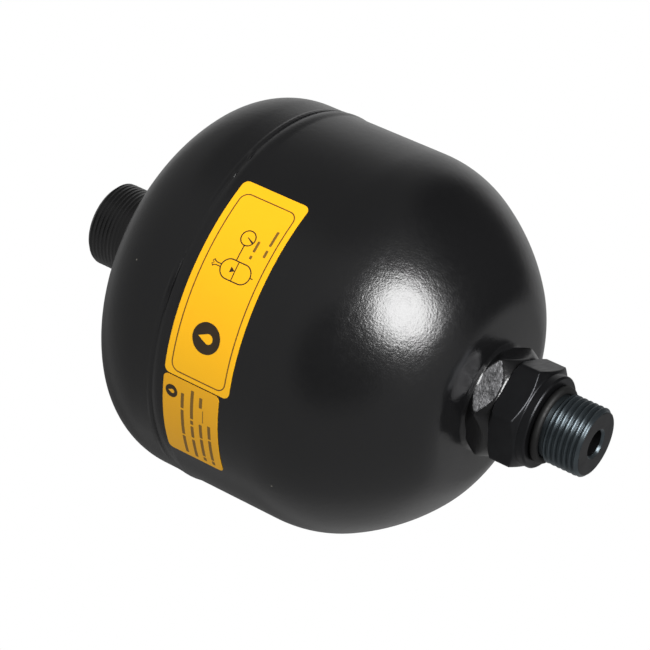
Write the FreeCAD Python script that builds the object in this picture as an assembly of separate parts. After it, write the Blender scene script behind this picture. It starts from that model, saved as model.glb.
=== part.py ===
# Hydraulic diaphragm accumulator, welded type, about one litre.
# Millimetres, +Z up along the axis of turning: gas side up, fluid side down.
# Heights are measured from the front face of the adapter collar, which seats on the port it screws
# into, and each piece stands on the one before it: adapter, port boss, fluid half, gas half, gas
# boss. The finished pieces are lifted by collar_face_height, which puts the origin on the axis just
# inside the stud's thread.
import FreeCAD
import Part
import math
import os

collar_face_height = 4.6

# Shell
shell_radius = 62.0
shell_wall = 5.5
fluid_straight = 36.5
gas_straight = 7.4
# outer radii of curvature of the ends, from the straight part inwards
fluid_knuckle_radius = 40.0
fluid_dish_radius = 57.0
fluid_shoulder_radius = 24.0
gas_knuckle_radius = 24.0
gas_dish_radius = 44.0
# degrees between the surface normal and the axis where each of those arcs ends
fluid_knuckle_end = 60.0
fluid_dish_end = 30.0
fluid_shoulder_end = 8.0
gas_knuckle_end = 45.0
gas_dish_end = 27.0
rim_band_height = 0.42
rim_band_drop = 3.0
rim_band_slope = 1.3

# Girth weld
weld_half_cap = 1.2
weld_half_root = 0.6
weld_groove_depth = 0.25
weld_groove_offset = 0.75
weld_lip_height = 0.32
weld_lip_offset = 0.35
weld_edge_height = 0.12
weld_edge_offset = 0.45

# Gas boss, thread M28 x 1.5 drawn at its major diameter
gas_thread_radius = 14.0
gas_boss_height = 22.8
gas_thread_length = 13.6
gas_thread_chamfer = 1.2
gas_body_radius = 14.4
gas_spigot_radius = 12.0
gas_recess_radius = 10.2
gas_recess_depth = 9.5
gas_passage_radius = 2.5
gas_weld_leg = 2.6
gas_thread_step = 0.4
gas_recess_edge = 0.5
gas_passage_cone = 2.5

# Charging screw M14 x 1.5 and its seal
screw_thread_radius = 7.0
screw_thread_length = 11.0
screw_hole_extra = 1.6
screw_head_radius = 9.5
screw_head_height = 6.0
screw_socket_flats = 8.0
screw_socket_depth = 5.0
screw_seal_section = 0.95
screw_seal_radius = 8.3
screw_seal_pocket_radius = 9.6
screw_tip_chamfer = 1.0
screw_head_chamfer = 0.8
screw_socket_lead = 0.15

# Fluid port boss
port_flats = 32.0
port_corner_radius = 18.2
port_turn = 11.0
port_hex_length = 9.0
port_front_chamfer = 4.2
port_face_rim = 0.4
port_face_step = 0.2
port_back_chamfer = 3.8
port_neck_radius = 15.6
port_neck_length = 0.8
port_spigot_radius = 14.5
port_passage_radius = 5.0
port_thread_depth = 11.6
port_weld_reach = 4.2
port_weld_clearance = 0.15
weld_root_gap = 0.02
port_seat_lead = 0.6
port_thread_cone = 2.0
port_passage_edge = 0.8

# Threaded ends of the adapter, 7/8-14 UNF drawn at the major diameter
stud_radius = 11.1125
stud_length = 16.0
stud_chamfer = 1.0
undercut_radius = 10.0
undercut_length = 4.4
inner_undercut_length = 3.4
bore_radius = 4.2
bore_mouth_radius = 4.9
undercut_edge = 0.7

# Adapter body
adapter_flats = 31.0
adapter_corner_radius = 17.8
adapter_back_radius = 16.6
adapter_turn = 17.6
adapter_length = 12.0
collar_length = 3.0
collar_radius = 14.9
collar_chamfer = 0.5
inner_stud_length = 10.5

# Stud seals: section 2.6 on the undercut
stud_seal_section = 1.3

# Diaphragm, its clamp ring and its valve button
diaphragm_gap = 0.5
diaphragm_thickness = 2.0
bead_width = 3.5
bead_top_drop = 2.5
bead_height = 6.0
bead_neck_drop = 12.0
bead_edge = 1.0
diaphragm_ease = 2.0
clamp_depth = 3.5
clamp_rise = 3.0
clamp_edge = 2.0
clamp_lower_edge = 0.5
button_radius = 14.0
button_waist_radius = 11.5
button_flange = 1.6
button_height = 6.0
button_edge = 0.8
button_top_edge = 1.2
centre_flat_radius = 16.5
crown_end_radius = 22.0

# Labels, wrapped on the straight part of the shell with a film of glue under them
label_thickness = 0.15
label_glue = 0.05
label_gap = 0.45
main_label_top_drop = 5.2
main_label_height = 23.8
main_label_mid = -89.7
main_label_span = 59.35
main_label_corner = 2.0
small_label_height = 20.6
small_label_span = 28.25
small_label_corner = 1.6

# Derived
fluid_arcs = [
    (fluid_knuckle_radius, fluid_knuckle_end),
    (fluid_dish_radius, fluid_dish_end),
    (fluid_shoulder_radius, fluid_shoulder_end),
]
gas_arcs = [
    (gas_knuckle_radius, gas_knuckle_end),
    (gas_dish_radius, gas_dish_end),
]
inner_radius = shell_radius - shell_wall
band_radius = shell_radius + rim_band_height
band_bend = rim_band_slope ** 2 / rim_band_height + 0.25 * rim_band_height
band_start_radius = band_radius - band_bend + math.sqrt(band_bend ** 2 - (rim_band_drop - weld_half_cap) ** 2)
bead_inner_radius = inner_radius - bead_width
clamp_inner_radius = bead_inner_radius - clamp_depth
stud_seal_radius = undercut_radius + stud_seal_section
small_label_mid = main_label_mid - 0.5 * (main_label_span + small_label_span) - label_gap
port_face_z = adapter_length
port_back_z = port_face_z + port_hex_length


def sine(degrees):
    return math.sin(math.radians(degrees))


def cosine(degrees):
    return math.cos(math.radians(degrees))


# A profile is a list of steps in the r-z plane: (r, z) for a straight step,
# or ((r, z), (r, z)) for an arc through the first point to the second.
def profile_face(steps):
    edges = []
    here = steps[0]
    for step in steps[1:] + [steps[0]]:
        middle = None
        there = step
        if isinstance(step[0], tuple):
            middle, there = step
        start = FreeCAD.Vector(here[0], 0, here[1])
        end = FreeCAD.Vector(there[0], 0, there[1])
        if middle:
            edges.append(Part.Arc(start, FreeCAD.Vector(middle[0], 0, middle[1]), end).toShape())
        elif start.distanceToPoint(end) > 1e-7:
            edges.append(Part.makeLine(start, end))
        here = there
    return Part.Face(Part.Wire(edges))


def turned(steps, angle=360):
    return profile_face(steps).revolve(FreeCAD.Vector(0, 0, 0), FreeCAD.Vector(0, 0, 1), angle)


def reverse_path(path):
    points = [path[0]] + [step[1] for step in path[1:]]
    middles = [step[0] for step in path[1:]]
    back = [points[-1]]
    for index in range(len(middles) - 1, -1, -1):
        back.append((middles[index], points[index]))
    return back


# One shell end: path from the tangent line inwards to the given radius on the crown,
# moved inwards by offset. side is +1 for the gas end, -1 for the fluid end.
def dish_path(arcs, tangent_z, side, end_radius, offset):
    radius, height, angle = shell_radius, tangent_z, 90.0
    path = [(radius - offset, height)]
    for bend, end_angle in arcs:
        centre_r = radius - bend * sine(angle)
        centre_z = height - side * bend * cosine(angle)
        middle = 0.5 * (angle + end_angle)
        path.append(tuple(
            (centre_r + (bend - offset) * sine(a), centre_z + side * (bend - offset) * cosine(a))
            for a in (middle, end_angle)))
        radius = centre_r + bend * sine(end_angle)
        height = centre_z + side * bend * cosine(end_angle)
        angle = end_angle
    path.append(crown_arc(arcs, tangent_z, side, path[-1][1][0], end_radius, offset))
    return path


# The crown of a shell end: a sphere with its centre on the axis
def crown_sphere(arcs, tangent_z, side):
    radius, height, angle = shell_radius, tangent_z, 90.0
    for bend, end_angle in arcs:
        radius -= bend * (sine(angle) - sine(end_angle))
        height += side * bend * (cosine(end_angle) - cosine(angle))
        angle = end_angle
    bend = radius / sine(angle)
    return bend, height - side * bend * cosine(angle)


def crown_z(arcs, tangent_z, side, r, offset):
    bend, centre_z = crown_sphere(arcs, tangent_z, side)
    return centre_z + side * math.sqrt((bend - offset) ** 2 - r ** 2)


def crown_arc(arcs, tangent_z, side, start_r, end_r, offset):
    middle_r = 0.5 * (start_r + end_r)
    return ((middle_r, crown_z(arcs, tangent_z, side, middle_r, offset)),
            (end_r, crown_z(arcs, tangent_z, side, end_r, offset)))


# Heights up the axis: the depth of each end is its height above a tangent line at zero
fluid_depth = crown_z(fluid_arcs, 0.0, 1, port_neck_radius, 0.0)
gas_depth = crown_z(gas_arcs, 0.0, 1, gas_body_radius, 0.0)
fluid_tangent_z = port_back_z + port_neck_length + fluid_depth
seam_z = fluid_tangent_z + fluid_straight
gas_tangent_z = seam_z + gas_straight
gas_boss_top = gas_tangent_z + gas_depth + gas_boss_height


def fluid_path(end_radius, offset):
    return dish_path(fluid_arcs, fluid_tangent_z, -1, end_radius, offset)


def fluid_crown_z(r, offset=0.0):
    return crown_z(fluid_arcs, fluid_tangent_z, -1, r, offset)


def fluid_crown_arc(start_r, end_r, offset=0.0):
    return crown_arc(fluid_arcs, fluid_tangent_z, -1, start_r, end_r, offset)


def gas_path(end_radius, offset):
    return dish_path(gas_arcs, gas_tangent_z, 1, end_radius, offset)


def gas_crown_z(r, offset=0.0):
    return crown_z(gas_arcs, gas_tangent_z, 1, r, offset)


def gas_crown_arc(start_r, end_r, offset=0.0):
    return crown_arc(gas_arcs, gas_tangent_z, 1, start_r, end_r, offset)


def hexagon(flats, bottom, height, turn):
    reach = flats / math.sqrt(3.0)
    points = [FreeCAD.Vector(reach * cosine(turn + 60 * k), reach * sine(turn + 60 * k), bottom)
              for k in range(7)]
    return Part.Face(Part.makePolygon(points)).extrude(FreeCAD.Vector(0, 0, height))


def o_ring(ring_radius, section, z):
    return Part.makeTorus(ring_radius, section, FreeCAD.Vector(0, 0, z), FreeCAD.Vector(0, 0, 1))


# Shell half on the gas side: shallow dish with a short straight rim
def make_gas_shell():
    outer = gas_path(gas_spigot_radius, 0.0)
    inner = reverse_path(gas_path(gas_spigot_radius, shell_wall))
    cap = (shell_radius, seam_z + weld_half_cap)
    root = (inner_radius, seam_z + weld_half_root)
    return turned([cap] + outer + inner + [root])


# Shell half on the fluid side: deep cup. Its rim swells softly where the clamp ring is pressed in.
def make_fluid_shell():
    outer = fluid_path(port_spigot_radius, 0.0)
    inner = reverse_path(fluid_path(port_spigot_radius, shell_wall))
    peak = seam_z - rim_band_drop
    foot = peak - 2 * rim_band_slope
    half_turn = 0.5 * math.asin(rim_band_slope / band_bend)
    ease = (shell_radius + band_bend * (1 - math.cos(half_turn)), foot + band_bend * math.sin(half_turn))
    band = [
        (band_start_radius, seam_z - weld_half_cap),
        ((band_radius, peak), (shell_radius + 0.5 * rim_band_height, peak - rim_band_slope)),
        (ease, (shell_radius, foot)),
    ]
    root = (inner_radius, seam_z - weld_half_root)
    return turned(band + outer + inner + [root])


# Weld between the two halves: a low lip, then a narrow groove on the fluid side
def make_girth_weld():
    return turned([
        (inner_radius, seam_z + weld_half_root),
        (shell_radius, seam_z + weld_half_cap),
        (shell_radius + weld_lip_height, seam_z + weld_lip_offset),
        (shell_radius + weld_edge_height, seam_z - weld_edge_offset),
        (shell_radius - weld_groove_depth, seam_z - weld_groove_offset),
        (band_start_radius, seam_z - weld_half_cap),
        (inner_radius, seam_z - weld_half_root),
    ])


# Gas boss: threaded outside, recessed inside for the charging screw
def make_gas_boss():
    top = gas_boss_top
    floor = top - gas_recess_depth
    pocket = floor - 2 * screw_seal_section
    hole_end = floor - screw_thread_length - screw_hole_extra
    thread_end = top - gas_thread_length
    bottom = gas_crown_z(gas_spigot_radius, shell_wall)
    return turned([
        (gas_passage_radius, bottom),
        (gas_spigot_radius, bottom),
        (gas_spigot_radius, gas_crown_z(gas_spigot_radius)),
        gas_crown_arc(gas_spigot_radius, gas_body_radius),
        (gas_body_radius, thread_end - gas_thread_step),
        (gas_thread_radius, thread_end),
        (gas_thread_radius, top - gas_thread_chamfer),
        (gas_thread_radius - gas_thread_chamfer, top),
        (gas_recess_radius + gas_recess_edge, top),
        (gas_recess_radius, top - gas_recess_edge),
        (gas_recess_radius, floor),
        (screw_seal_pocket_radius, floor),
        (screw_seal_pocket_radius, pocket),
        (screw_thread_radius, pocket),
        (screw_thread_radius, hole_end),
        (gas_passage_radius, hole_end - gas_passage_cone),
    ])


def make_gas_boss_weld():
    reach = gas_body_radius + gas_weld_leg
    foot = gas_crown_z(gas_body_radius)
    top = foot + gas_weld_leg
    hollow = (gas_body_radius + 0.36 * gas_weld_leg, foot + 0.34 * gas_weld_leg)
    return turned([
        (gas_body_radius, foot),
        gas_crown_arc(gas_body_radius, reach),
        (hollow, (gas_body_radius, top)),
    ])


# Charging screw with a hexagon socket
def make_charging_screw():
    floor = gas_boss_top - gas_recess_depth
    top = floor + screw_head_height
    body = turned([
        (0, floor - screw_thread_length),
        (screw_thread_radius - screw_tip_chamfer, floor - screw_thread_length),
        (screw_thread_radius, floor - screw_thread_length + screw_tip_chamfer),
        (screw_thread_radius, floor),
        (screw_head_radius, floor),
        (screw_head_radius, top - screw_head_chamfer),
        (screw_head_radius - screw_head_chamfer, top),
        (0, top),
    ])
    socket = hexagon(screw_socket_flats, top - screw_socket_depth, screw_socket_depth, 0.0)
    lead = screw_head_chamfer
    mouth_radius = screw_socket_flats / math.sqrt(3.0) + screw_socket_lead
    mouth = Part.makeCone(mouth_radius - lead, mouth_radius, lead, FreeCAD.Vector(0, 0, top - lead))
    return body.cut(socket).cut(mouth)


def make_screw_seal():
    floor = gas_boss_top - gas_recess_depth
    return o_ring(screw_seal_radius, screw_seal_section, floor - screw_seal_section)


# Fluid port boss: hexagon turned down at both ends, welded into the shell by its neck
def make_port_boss():
    flat_radius = 0.5 * port_flats
    back_z = port_back_z
    seat_z = fluid_crown_z(port_spigot_radius, shell_wall)
    blank = turned([
        (0, port_face_z),
        (flat_radius - port_face_rim, port_face_z),
        (flat_radius - 0.5 * port_face_rim, port_face_z + port_face_step),
        (port_corner_radius, port_face_z + port_front_chamfer),
        (port_corner_radius, back_z - port_back_chamfer),
        (port_neck_radius, back_z),
        (port_neck_radius, fluid_crown_z(port_neck_radius)),
        fluid_crown_arc(port_neck_radius, port_spigot_radius),
        (port_spigot_radius, seat_z),
        (0, seat_z),
    ])
    hex_bar = hexagon(port_flats, port_face_z - port_neck_length, port_hex_length + port_neck_length, port_turn)
    neck_bar = Part.makeCylinder(port_neck_radius + 0.01, seat_z - back_z + 1.0, FreeCAD.Vector(0, 0, back_z))
    boss = blank.common(hex_bar.fuse(neck_bar))
    thread_end = port_face_z + port_thread_depth
    mouth_radius = stud_seal_radius + stud_seal_section
    mouth_end = port_face_z + 2 * stud_seal_section
    hole = turned([
        (0, port_face_z - 1.0),
        (mouth_radius, port_face_z - 1.0),
        (mouth_radius, mouth_end),
        (stud_radius, mouth_end + port_seat_lead),
        (stud_radius, thread_end),
        (port_passage_radius, thread_end + port_thread_cone),
        (port_passage_radius, seat_z - port_passage_edge),
        (port_passage_radius + port_passage_edge, seat_z),
        (port_passage_radius + port_passage_edge, seat_z + 1.0),
        (0, seat_z + 1.0),
    ])
    return boss.cut(hole)


def make_port_weld():
    root = port_neck_radius + weld_root_gap
    reach = port_neck_radius + port_weld_reach
    foot = fluid_crown_z(root)
    rise = port_neck_length - port_weld_clearance
    hollow = (port_neck_radius + 0.32 * port_weld_reach, foot - 0.36 * rise)
    return turned([
        (root, foot),
        fluid_crown_arc(root, reach),
        (hollow, (root, foot - rise)),
    ])


# Adapter: one piece with a stud at each end, a hexagon and a round collar
def make_adapter():
    back = port_face_z
    inner_end = back + inner_stud_length
    front_rise = (adapter_corner_radius - collar_radius) * math.tan(math.radians(30))
    back_rise = (adapter_corner_radius - adapter_back_radius) * math.tan(math.radians(30))
    front = turned([
        (0, -stud_length),
        (stud_radius - stud_chamfer, -stud_length),
        (stud_radius, 0.9 * stud_chamfer - stud_length),
        (stud_radius, -undercut_length),
        (undercut_radius, -undercut_length + undercut_edge),
        (undercut_radius, 0),
        (collar_radius - collar_chamfer, 0),
        (collar_radius, collar_chamfer),
        (collar_radius, collar_length),
        (0, collar_length),
    ])
    middle = turned([
        (0, collar_length),
        (collar_radius, collar_length),
        (adapter_corner_radius, collar_length + front_rise),
        (adapter_corner_radius, back - back_rise),
        (adapter_back_radius, back),
        (0, back),
    ]).common(hexagon(adapter_flats, collar_length - 1.0, back - collar_length + 2.0, adapter_turn))
    rear = turned([
        (0, back),
        (undercut_radius, back),
        (undercut_radius, back + inner_undercut_length - undercut_edge),
        (stud_radius, back + inner_undercut_length),
        (stud_radius, inner_end - stud_chamfer),
        (stud_radius - stud_chamfer, inner_end),
        (0, inner_end),
    ])
    mouth = bore_mouth_radius - bore_radius
    bore = turned([
        (0, -stud_length - 1.0),
        (bore_mouth_radius + 1.0, -stud_length - 1.0),
        (bore_radius, mouth - stud_length),
        (bore_radius, inner_end + 1.0),
        (0, inner_end + 1.0),
    ])
    return front.fuse(middle).fuse(rear).cut(bore).removeSplitter()


def make_stud_seal():
    return o_ring(stud_seal_radius, stud_seal_section, -stud_seal_section)


def make_port_seal():
    return o_ring(stud_seal_radius, stud_seal_section, port_face_z + stud_seal_section)


# Diaphragm at rest, lying along the fluid half, with a bead at its rim
def make_diaphragm():
    seat_z = fluid_crown_z(port_spigot_radius, shell_wall)
    low = shell_wall + diaphragm_gap
    high = low + diaphragm_thickness
    centre_low = seat_z + button_flange
    centre_high = centre_low + diaphragm_thickness
    bead_top = seam_z - bead_top_drop
    bead_bottom = bead_top - bead_height
    neck_z = seam_z - bead_neck_drop
    neck_radius = inner_radius - diaphragm_thickness
    gas_side = fluid_path(crown_end_radius, high)
    fluid_side = reverse_path(fluid_path(crown_end_radius, low))
    return turned([
        (inner_radius, bead_top),
        (bead_inner_radius, bead_top),
        (bead_inner_radius, bead_bottom),
        (neck_radius, bead_bottom - bead_edge),
        (neck_radius, neck_z),
        (shell_radius - high, neck_z - diaphragm_ease),
    ] + gas_side + [
        (centre_flat_radius, centre_high),
        (button_waist_radius, centre_high),
        (button_waist_radius, centre_low),
        (centre_flat_radius, centre_low),
    ] + fluid_side + [
        (shell_radius - low, neck_z - diaphragm_ease),
        (inner_radius, neck_z),
    ])


# Clamp ring: backs the girth weld and holds the bead against the shell wall
def make_clamp_ring():
    bead_top = seam_z - bead_top_drop
    bead_bottom = bead_top - bead_height
    neck_z = seam_z - bead_neck_drop
    neck_radius = inner_radius - diaphragm_thickness
    top = seam_z + clamp_rise
    return turned([
        (inner_radius, top),
        (inner_radius, bead_top),
        (bead_inner_radius, bead_top),
        (bead_inner_radius, bead_bottom),
        (neck_radius, bead_bottom - bead_edge),
        (neck_radius, neck_z),
        (clamp_inner_radius + clamp_edge, neck_z - clamp_lower_edge),
        (clamp_inner_radius, neck_z + clamp_edge - clamp_lower_edge),
        (clamp_inner_radius, top - clamp_edge),
        (clamp_inner_radius + clamp_edge, top),
    ])


# Valve button moulded into the centre of the diaphragm, resting on the port boss
def make_valve_button():
    seat_z = fluid_crown_z(port_spigot_radius, shell_wall)
    top = seat_z + button_height
    groove_top = seat_z + button_flange + diaphragm_thickness
    return turned([
        (0, seat_z),
        (button_radius - button_edge, seat_z),
        (button_radius, seat_z + button_edge),
        (button_radius, seat_z + button_flange),
        (button_waist_radius, seat_z + button_flange),
        (button_waist_radius, groove_top),
        (button_radius, groove_top),
        (button_radius, top - button_top_edge),
        (button_radius - button_top_edge, top),
        (0, top),
    ])


# A label: part of a thin sleeve on the shell, with rounded corners
def make_label(top_drop, height, middle, span, corner):
    top = seam_z - top_drop
    inner = shell_radius + label_glue
    outer = inner + label_thickness
    sleeve = turned([
        (inner, top),
        (outer, top),
        (outer, top - height),
        (inner, top - height),
    ], span)
    sleeve.rotate(FreeCAD.Vector(0, 0, 0), FreeCAD.Vector(0, 0, 1), middle - 0.5 * span)
    corners = [edge for edge in sleeve.Edges if abs(edge.Length - label_thickness) < 1e-4]
    return sleeve.makeFillet(corner, corners)


pieces = {
    "gas_shell_half": make_gas_shell(),
    "fluid_shell_half": make_fluid_shell(),
    "girth_weld": make_girth_weld(),
    "gas_boss": make_gas_boss(),
    "gas_boss_weld": make_gas_boss_weld(),
    "charging_screw": make_charging_screw(),
    "charging_screw_seal": make_screw_seal(),
    "port_boss": make_port_boss(),
    "port_boss_weld": make_port_weld(),
    "adapter": make_adapter(),
    "adapter_port_seal": make_port_seal(),
    "adapter_stud_seal": make_stud_seal(),
    "diaphragm": make_diaphragm(),
    "clamp_ring": make_clamp_ring(),
    "valve_button": make_valve_button(),
    "main_label": make_label(main_label_top_drop, main_label_height,
                             main_label_mid, main_label_span, main_label_corner),
    "small_label": make_label(main_label_top_drop, small_label_height,
                              small_label_mid, small_label_span, small_label_corner),
}

os.makedirs("parts", exist_ok=True)
for name, shape in pieces.items():
    solid = shape.Solids[0]
    solid.translate(FreeCAD.Vector(0, 0, collar_face_height))
    solid.exportStep(os.path.join("parts", name + ".step"))
    box = solid.BoundBox
    print(f"{name:22s} solids {len(shape.Solids)} valid {solid.isValid()} volume {solid.Volume:10.1f} "
          f"z {box.ZMin:7.2f} {box.ZMax:7.2f} x {box.XMin:7.2f} {box.XMax:7.2f}")
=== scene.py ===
# Hydraulic diaphragm accumulator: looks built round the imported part.
# Sizes below are in millimetres in the part's own frame; makePiece turns them to metres.
import math
import bpy
import bmesh
import numpy as np
from mathutils import Euler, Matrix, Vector


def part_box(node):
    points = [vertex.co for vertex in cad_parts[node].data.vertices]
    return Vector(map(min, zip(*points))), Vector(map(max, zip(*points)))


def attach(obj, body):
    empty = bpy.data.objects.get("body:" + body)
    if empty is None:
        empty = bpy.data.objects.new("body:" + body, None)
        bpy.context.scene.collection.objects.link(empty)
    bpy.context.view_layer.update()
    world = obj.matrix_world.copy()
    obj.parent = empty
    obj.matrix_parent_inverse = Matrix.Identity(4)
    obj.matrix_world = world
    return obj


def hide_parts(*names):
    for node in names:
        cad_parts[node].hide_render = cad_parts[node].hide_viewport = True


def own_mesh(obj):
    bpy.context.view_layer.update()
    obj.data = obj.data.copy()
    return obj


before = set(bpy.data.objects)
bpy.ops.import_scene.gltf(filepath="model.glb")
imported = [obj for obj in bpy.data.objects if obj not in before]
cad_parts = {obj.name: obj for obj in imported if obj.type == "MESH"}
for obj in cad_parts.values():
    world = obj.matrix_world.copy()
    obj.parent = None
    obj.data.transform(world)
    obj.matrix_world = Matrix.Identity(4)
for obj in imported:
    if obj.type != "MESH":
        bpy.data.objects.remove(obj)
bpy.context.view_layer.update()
mm = 0.001
print("frame loaded")


# Colours and nodes
def srgb(hexCode):
    parts = [int(hexCode[i:i + 2], 16) / 255 for i in (1, 3, 5)]
    return tuple(c / 12.92 if c <= 0.04045 else ((c + 0.055) / 1.055) ** 2.4 for c in parts) + (1.0,)


def addNode(tree, kind, settings=None, links=None):
    node = tree.nodes.new(kind)
    for key, value in (settings or {}).items():
        if isinstance(key, int) or key in node.inputs:
            node.inputs[key].default_value = value
        else:
            setattr(node, key, value)
    for key, (source, output) in (links or {}).items():
        tree.links.new(source.outputs[output], node.inputs[key])
    return node


def perMm(size):  # noise scale for a feature of this many millimetres
    return 1 / (size * mm)


# A surface with two grains of relief, a roughness that wanders and a colour that drifts.
# look: colour, drift (second colour), driftMm, roughness, roughnessSpread, metallic, ior,
# coarseMm and coarseHeight, fineMm and fineHeight (heights in mm), stretch (x, y, z),
# grooved (how far the sheen is drawn out across grooves that run round the axis).
# Turning marks and moulding grain are really about 0.1 mm wide. They are drawn at 0.3 mm or more, and
# deeper, so that they show.
def makeSurface(name, look):
    material = bpy.data.materials.new(name)
    material.use_nodes = True
    tree = material.node_tree
    tree.nodes.clear()
    place = addNode(tree, "ShaderNodeTexCoord")
    laid = addNode(tree, "ShaderNodeMapping", {"Scale": look.get("stretch", (1, 1, 1))},
                   {"Vector": (place, "Object")})
    drift = addNode(tree, "ShaderNodeTexNoise", {"Scale": perMm(look["driftMm"]), "Detail": 3.0},
                    {"Vector": (place, "Object")})
    colour = addNode(tree, "ShaderNodeMix",
                     {"data_type": "RGBA", 6: srgb(look["colour"]), 7: srgb(look["drift"])},
                     {0: (drift, "Fac")})
    coarse = addNode(tree, "ShaderNodeTexNoise", {"Scale": perMm(look["coarseMm"]), "Detail": 2.0},
                     {"Vector": (laid, "Vector")})
    fine = addNode(tree, "ShaderNodeTexNoise", {"Scale": perMm(look["fineMm"]), "Detail": 2.0},
                   {"Vector": (laid, "Vector")})
    rough = addNode(tree, "ShaderNodeMapRange", {
        "From Min": 0.3, "From Max": 0.7,
        "To Min": look["roughness"] - look["roughnessSpread"],
        "To Max": look["roughness"] + look["roughnessSpread"]}, {"Value": (coarse, "Fac")})
    swell = addNode(tree, "ShaderNodeBump", {"Strength": 1.0, "Distance": look["coarseHeight"] * mm},
                    {"Height": (coarse, "Fac")})
    relief = addNode(tree, "ShaderNodeBump", {"Strength": 1.0, "Distance": look["fineHeight"] * mm},
                     {"Height": (fine, "Fac"), "Normal": (swell, "Normal")})
    shader = addNode(tree, "ShaderNodeBsdfPrincipled",
                     {"Metallic": look.get("metallic", 0.0), "IOR": look.get("ior", 1.5),
                      "Anisotropic": look.get("grooved", 0.0), "Anisotropic Rotation": 0.25},
                     {"Base Color": (colour, 2), "Roughness": (rough, 0), "Normal": (relief, "Normal")})
    if "grooved" in look:
        aroundAxis = addNode(tree, "ShaderNodeTangent", {"direction_type": "RADIAL", "axis": "Z"})
        tree.links.new(aroundAxis.outputs[0], shader.inputs["Tangent"])
    addNode(tree, "ShaderNodeOutputMaterial", {}, {"Surface": (shader, "BSDF")})
    return material, tree, place, colour, shader


# Satin black polyester powder coat, sprayed and baked: soft sheen with a fine orange peel, and a few
# grains of dust held in the film. The peel is as wide as the real one, and drawn taller so that it shows.
powderCoat = {
    "colour": "#0e0e0f", "drift": "#141415", "driftMm": 45,
    "roughness": 0.21, "roughnessSpread": 0.02, "ior": 1.62,
    "coarseMm": 2.0, "coarseHeight": 0.045, "fineMm": 0.6, "fineHeight": 0.042,
    "dustColour": "#77736a", "dustSpacingMm": 17, "dustMm": 0.26,
}
coatMaterial, coatTree, coatPlace, coatColour, coatShader = makeSurface("powderCoatedSteel", powderCoat)
dust = addNode(coatTree, "ShaderNodeTexVoronoi", {"Scale": perMm(powderCoat["dustSpacingMm"])},
               {"Vector": (coatPlace, "Object")})
speck = addNode(coatTree, "ShaderNodeMath",
                {"operation": "LESS_THAN", 1: powderCoat["dustMm"] / powderCoat["dustSpacingMm"]},
                {0: (dust, "Distance")})
dusted = addNode(coatTree, "ShaderNodeMix", {"data_type": "RGBA", 7: srgb(powderCoat["dustColour"])},
                 {0: (speck, 0), 6: (coatColour, 2)})
coatTree.links.new(dusted.outputs[2], coatShader.inputs["Base Color"])

# Carbon steel, turned and black oxided, then oiled: dark soft mirror, hardly any colour
blackSteel, *_ = makeSurface("blackOxidedTurnedSteel", {
    "colour": "#2b2b2d", "drift": "#38393b", "driftMm": 6, "metallic": 0.9,
    "roughness": 0.33, "roughnessSpread": 0.05, "coarseMm": 1.6, "coarseHeight": 0.006,
    "fineMm": 0.35, "fineHeight": 0.004, "stretch": (0.3, 0.3, 3.0)})

# The same steel where the thread is cut: fine tool grooves round the axis draw its sheen out
# along the axis, and the thinner oxide there gives a cold blue cast
cutSteel, *_ = makeSurface("blackOxidedThreadSteel", {
    "colour": "#525a5f", "drift": "#656e73", "driftMm": 5, "metallic": 0.9, "grooved": 0.86,
    "roughness": 0.37, "roughnessSpread": 0.06, "coarseMm": 1.6, "coarseHeight": 0.006,
    "fineMm": 0.35, "fineHeight": 0.004, "stretch": (0.3, 0.3, 3.0)})

# Carbon steel bar, milled and painted black, with patches of thin paint over bare grey: a painted sheen,
# put only on the flat that faces the softbox and the one opposite. The lamp's sheen on it is drawn out
# across the cutter's grooves, which are coarser and deeper than real so that they show
paintedSheenBar, *_ = makeSurface("paintedSheenMilledSteel", {
    "colour": "#19191a", "drift": "#9c9c9e", "driftMm": 5, "metallic": 0.9, "grooved": 0.9,
    "roughness": 0.42, "roughnessSpread": 0.12, "coarseMm": 2.4, "coarseHeight": 0.3,
    "fineMm": 0.9, "fineHeight": 0.2, "stretch": (1.0, 1.0, 2.0)})

# Carbon steel, turned and zinc plated: pale grey metal with turning rings
zincSteel, *_ = makeSurface("zincPlatedTurnedSteel", {
    "colour": "#b4b7ba", "drift": "#a3a39c", "driftMm": 5, "metallic": 1.0,
    "roughness": 0.3, "roughnessSpread": 0.06, "coarseMm": 1.2, "coarseHeight": 0.006,
    "fineMm": 0.3, "fineHeight": 0.004, "stretch": (0.3, 0.3, 3.0)})

# Carbon steel, turned and left bare inside the vessel: mid grey with an oil film
plainSteel, *_ = makeSurface("plainTurnedSteel", {
    "colour": "#8e8f90", "drift": "#7b7a78", "driftMm": 9, "metallic": 1.0,
    "roughness": 0.34, "roughnessSpread": 0.07, "coarseMm": 1.5, "coarseHeight": 0.008,
    "fineMm": 0.35, "fineHeight": 0.005, "stretch": (0.3, 0.3, 3.0)})

# Nitrile rubber, compression moulded: soft black sheen on the seal rings
sealRubber, *_ = makeSurface("mouldedNitrileSeal", {
    "colour": "#060606", "drift": "#0b0b0b", "driftMm": 4,
    "roughness": 0.58, "roughnessSpread": 0.05, "ior": 1.5, "coarseMm": 0.9, "coarseHeight": 0.006,
    "fineMm": 0.3, "fineHeight": 0.003})

# Nitrile rubber sheet, moulded and dusted with talc: matt charcoal with pale clouds
diaphragmRubber, *_ = makeSurface("talcedNitrileSheet", {
    "colour": "#1b1b1c", "drift": "#343332", "driftMm": 14,
    "roughness": 0.68, "roughnessSpread": 0.08, "ior": 1.52, "coarseMm": 2.2, "coarseHeight": 0.03,
    "fineMm": 0.6, "fineHeight": 0.01})

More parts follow.
